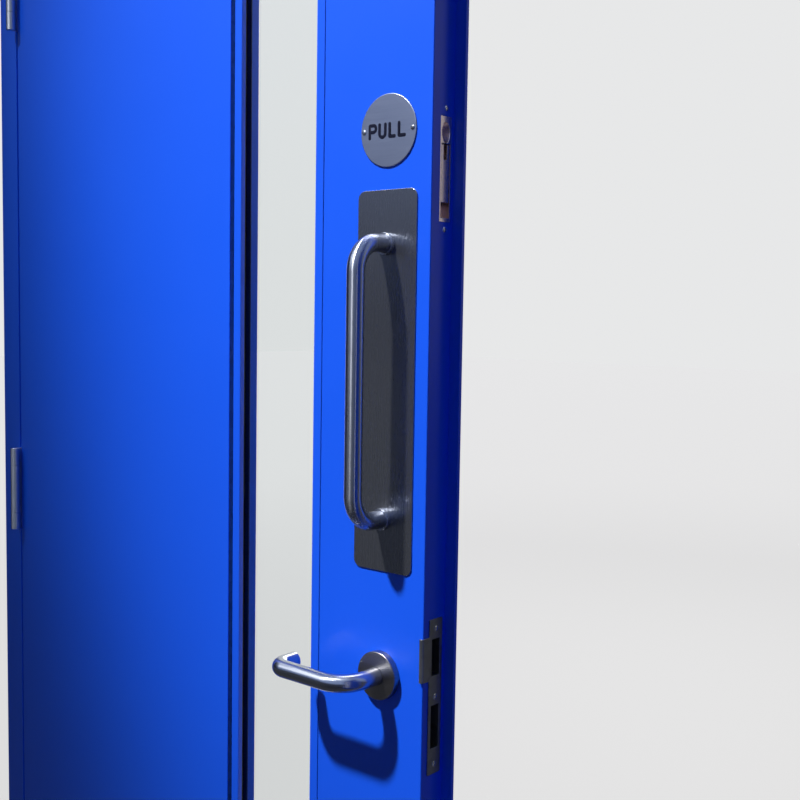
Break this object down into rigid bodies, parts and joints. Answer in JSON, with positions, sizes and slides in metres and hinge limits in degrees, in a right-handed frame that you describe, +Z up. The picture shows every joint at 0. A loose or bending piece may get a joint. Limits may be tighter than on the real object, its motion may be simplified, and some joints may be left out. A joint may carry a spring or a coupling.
{
  "type": "double-leaf steel fire door with frame",
  "caption": "Double-leaf steel fire door in its folded steel frame, with narrow vision panels, pull handles, levers, flush bolts and a mortise lock.",
  "frame": {"origin": "middle of the underside of the threshold, halfway through the frame's depth", "axes": "+Z up, +Y from the pull side of the leaves into the wall, +X to the right as seen from the pull side"},
  "size_m": [1.6175, 0.8865, 2.1],
  "materials": {
    "blue_paint": "gloss",
    "satin_steel": "satin",
    "dark_brushed_steel": "brushed",
    "zinc_steel": "dull",
    "nickel_brass": "satin",
    "black_rubber": "matte",
    "mineral_core": "matte",
    "fire_glass": "clear"
  },
  "bodies": {
    "frame": {"left_jamb": "blue_paint", "right_jamb": "blue_paint", "frame_head": "blue_paint", "threshold": "dark_brushed_steel", "frame_seal": "black_rubber", "wall_anchors": "zinc_steel", "head_keeper": "zinc_steel", "floor_socket": "zinc_steel", "hinge_frame_leaves": "satin_steel", "hinge_pins": "satin_steel"},
    "left_leaf": {"left_front_skin": "blue_paint", "left_back_skin": "blue_paint", "left_core": "mineral_core", "left_vision_lining": "zinc_steel", "left_front_bead": "blue_paint", "left_back_bead": "blue_paint", "left_glass": "fire_glass", "left_glazing_gaskets": "black_rubber", "left_hinge_leaves": "satin_steel", "left_roses": "satin_steel", "left_pull_plate": "dark_brushed_steel", "left_pull_handle": "satin_steel", "left_pull_ferrules": "satin_steel", "left_pull_sign": "satin_steel", "left_strike_plate": "zinc_steel", "left_strike_box": "zinc_steel", "left_lower_bolt_case": "satin_steel", "left_upper_bolt_case": "satin_steel"},
    "left_lever": {"left_front_lever": "satin_steel", "left_back_lever": "satin_steel", "left_spindle": "satin_steel"},
    "left_upper_bolt_lever": {"left_upper_bolt_lever": "satin_steel"},
    "left_upper_bolt_rod": {"left_upper_bolt_rod": "zinc_steel"},
    "left_lower_bolt_lever": {"left_lower_bolt_lever": "satin_steel"},
    "left_lower_bolt_rod": {"left_lower_bolt_rod": "zinc_steel"},
    "right_leaf": {"right_front_skin": "blue_paint", "right_back_skin": "blue_paint", "right_core": "mineral_core", "right_vision_lining": "zinc_steel", "right_front_bead": "blue_paint", "right_back_bead": "blue_paint", "right_glass": "fire_glass", "right_glazing_gaskets": "black_rubber", "right_hinge_leaves": "satin_steel", "right_roses": "satin_steel", "right_pull_plate": "dark_brushed_steel", "right_pull_handle": "satin_steel", "right_pull_ferrules": "satin_steel", "right_lock_case": "zinc_steel", "right_forend": "satin_steel", "right_lock_cylinder": "nickel_brass", "right_escutcheons": "satin_steel"},
    "right_lever": {"right_front_lever": "satin_steel", "right_back_lever": "satin_steel", "right_spindle": "satin_steel"},
    "right_latch_bolt": {"right_latch_bolt": "nickel_brass"},
    "right_deadbolt": {"right_deadbolt": "satin_steel"},
    "right_thumb_turn": {"right_thumb_turn": "satin_steel"}
  },
  "joints": [
    {"name": "left_leaf_swing", "type": "hinge", "parent": "frame", "child": "left_leaf", "pos_m": [-0.7585, -0.0635, 1.05], "axis": [0, 0, -1], "range_deg": [0, 110]},
    {"name": "right_leaf_swing", "type": "hinge", "parent": "frame", "child": "right_leaf", "pos_m": [0.7585, -0.0635, 1.05], "axis": [0, 0, 1], "range_deg": [-90, 20]},
    {"name": "left_lever_turn", "type": "hinge", "parent": "left_leaf", "child": "left_lever", "pos_m": [-0.0585, -0.035, 1], "axis": [0, -1, 0], "range_deg": [0, 45]},
    {"name": "left_upper_bolt_turn", "type": "hinge", "parent": "left_leaf", "child": "left_upper_bolt_lever", "pos_m": [-0.007, -0.0325, 1.5032], "axis": [0, 1, 0], "range_deg": [0, 100.5]},
    {"name": "left_upper_bolt_slide", "type": "slide", "parent": "left_leaf", "child": "left_upper_bolt_rod", "axis": [0, 0, 1], "range_m": [0, 0.015]},
    {"name": "left_lower_bolt_turn", "type": "hinge", "parent": "left_leaf", "child": "left_lower_bolt_lever", "pos_m": [-0.007, -0.0325, 0.574], "axis": [0, -1, 0], "range_deg": [0, 100.5]},
    {"name": "left_lower_bolt_slide", "type": "slide", "parent": "left_leaf", "child": "left_lower_bolt_rod", "axis": [0, 0, -1], "range_m": [0, 0.015]},
    {"name": "right_lever_turn", "type": "hinge", "parent": "right_leaf", "child": "right_lever", "pos_m": [0.73, -0.7635, 1], "axis": [-1, 0, 0], "range_deg": [0, 45]},
    {"name": "right_latch_slide", "type": "slide", "parent": "right_leaf", "child": "right_latch_bolt", "axis": [0, 1, 0], "range_m": [0, 0.0111]},
    {"name": "right_thumb_turn", "type": "hinge", "parent": "right_leaf", "child": "right_thumb_turn", "pos_m": [0.69, -0.7635, 0.928], "axis": [1, 0, 0], "range_deg": [0, 90.5]},
    {"name": "right_deadbolt_slide", "type": "slide", "parent": "right_leaf", "child": "right_deadbolt", "axis": [0, -1, 0], "range_m": [0, 0.02]}
  ],
  "couplings": [
    {"joint": "left_upper_bolt_turn", "follows": "left_upper_bolt_slide", "rad_per_m": 116.36},
    {"joint": "left_lower_bolt_turn", "follows": "left_lower_bolt_slide", "rad_per_m": 116.36},
    {"joint": "right_latch_slide", "follows": "right_lever_turn", "m_per_rad": 0.014006},
    {"joint": "right_thumb_turn", "follows": "right_deadbolt_slide", "rad_per_m": 78.54}
  ]
}
